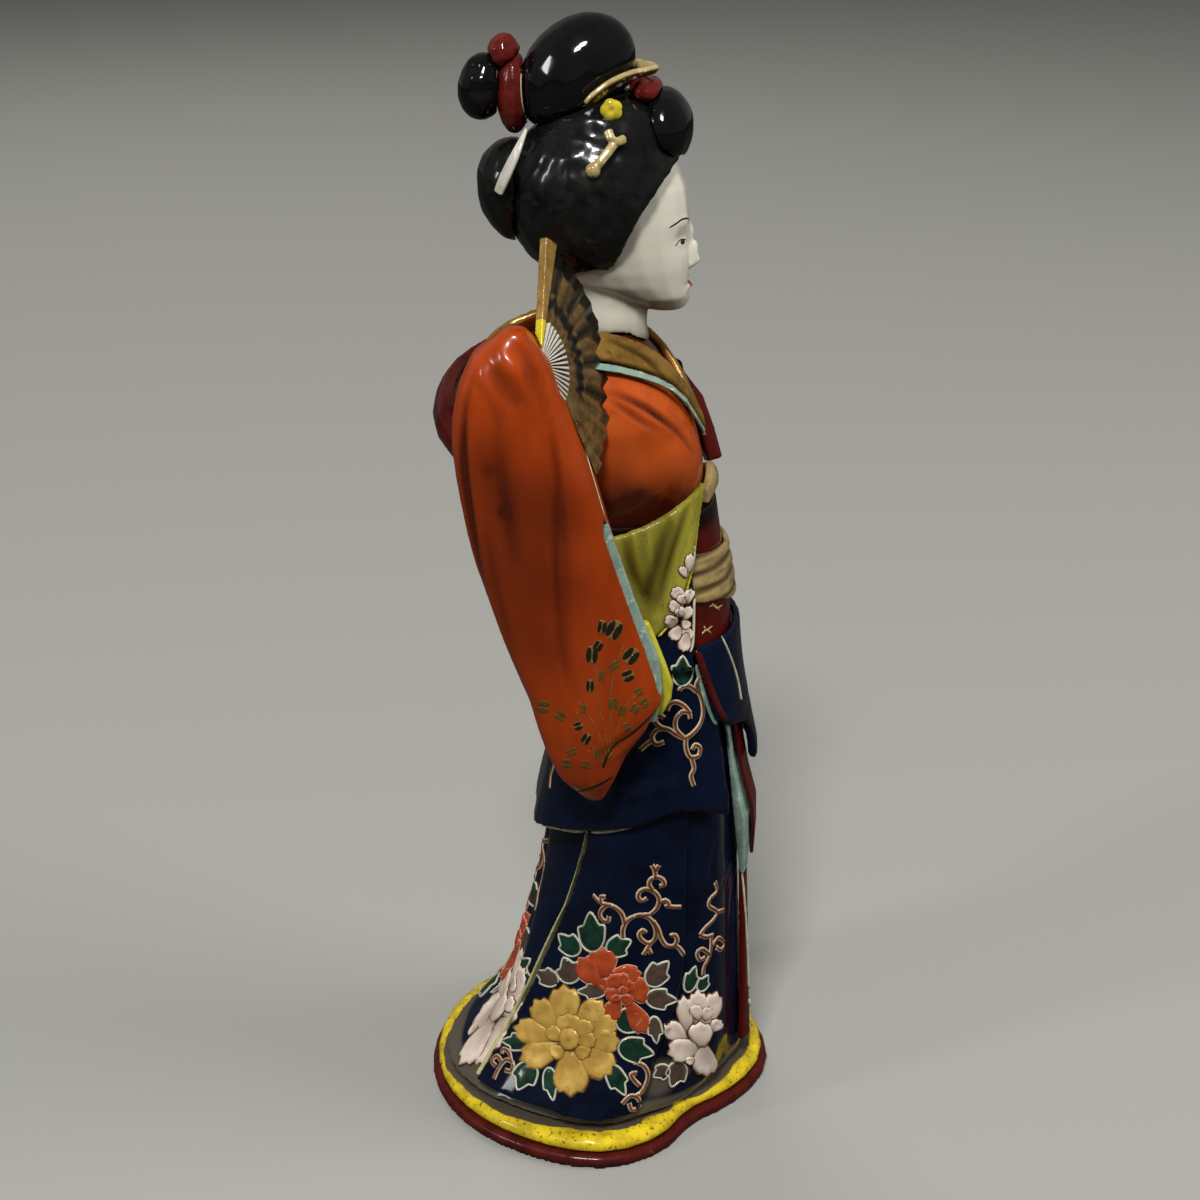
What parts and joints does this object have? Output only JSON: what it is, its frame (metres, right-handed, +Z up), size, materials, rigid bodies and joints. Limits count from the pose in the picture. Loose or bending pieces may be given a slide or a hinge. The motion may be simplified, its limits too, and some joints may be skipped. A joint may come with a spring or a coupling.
{
  "type": "ceramic figurine",
  "caption": "Hollow glazed ceramic figurine of a standing lady in layered robes, with a raised sleeve, an open fan and dressed hair, on a flat foot.",
  "frame": {"origin": "centre of the flat foot, on the surface that the figurine stands on", "axes": "+Z up, she faces -Y, her right hand side is -X and her left hand side is +X"},
  "size_m": [0.1202, 0.1221, 0.3699],
  "materials": {
    "porcelain_glaze": "clear glossy glaze over white porcelain",
    "black_glaze": "glossy black glaze",
    "navy_glaze": "glossy cobalt glaze with raised enamel flowers",
    "orange_enamel": "satin iron red enamel, shaded darker in the folds",
    "maroon_glaze": "glossy dark red enamel",
    "yellow_enamel": "yellow enamel with brown specks",
    "lining_enamel": "yellow green enamel",
    "mint_enamel": "pale green enamel",
    "gold_lustre": "worn burnished gold",
    "bronze_lustre": "brown bronze lustre with a dark border",
    "tan_enamel": "satin tan enamel",
    "red_glaze": "glossy red brown glaze",
    "cream_enamel": "pale cream enamel line"
  },
  "bodies": {
    "root": {"foot": "maroon_glaze", "hem_roll": "yellow_enamel", "skirt_body": "navy_glaze", "upper_robe": "orange_enamel", "obi": "maroon_glaze", "front_panel": "navy_glaze", "panel_piping": "cream_enamel", "hip_fold": "navy_glaze", "hip_fold_lining": "cream_enamel", "front_edge_mint": "mint_enamel", "front_edge_red": "maroon_glaze", "front_flap": "navy_glaze", "skirt_edge_red": "maroon_glaze", "skirt_edge_cream": "cream_enamel", "obi_cord": "tan_enamel", "obi_scarf": "tan_enamel", "robe_right_front": "navy_glaze", "slipped_lining": "lining_enamel", "slipped_edge": "yellow_enamel", "robe_left_front": "navy_glaze", "robe_back": "navy_glaze", "head": "porcelain_glaze", "collar_left": "gold_lustre", "collar_right": "gold_lustre", "outer_collar": "maroon_glaze", "mint_edge_right": "mint_enamel", "mint_edge_left": "mint_enamel", "sleeve_lining_mint": "mint_enamel", "sleeve_lining_yellow": "lining_enamel", "right_sleeve": "orange_enamel", "left_sleeve_lining": "maroon_glaze", "left_sleeve": "navy_glaze", "fan_guard_near": "gold_lustre", "fan_leaf": "bronze_lustre", "fan_ribs": "porcelain_glaze", "fan_guard_far": "gold_lustre", "hair_sides": "black_glaze", "hair_tail": "black_glaze", "hair_front": "black_glaze", "hair_bun": "black_glaze", "hair_band": "red_glaze", "hair_loop": "black_glaze", "band_knot": "red_glaze", "comb": "gold_lustre", "comb_cloth": "red_glaze", "hairpin": "gold_lustre", "flower_pin": "yellow_enamel", "paper_ribbon": "porcelain_glaze"}
  },
  "joints": []
}
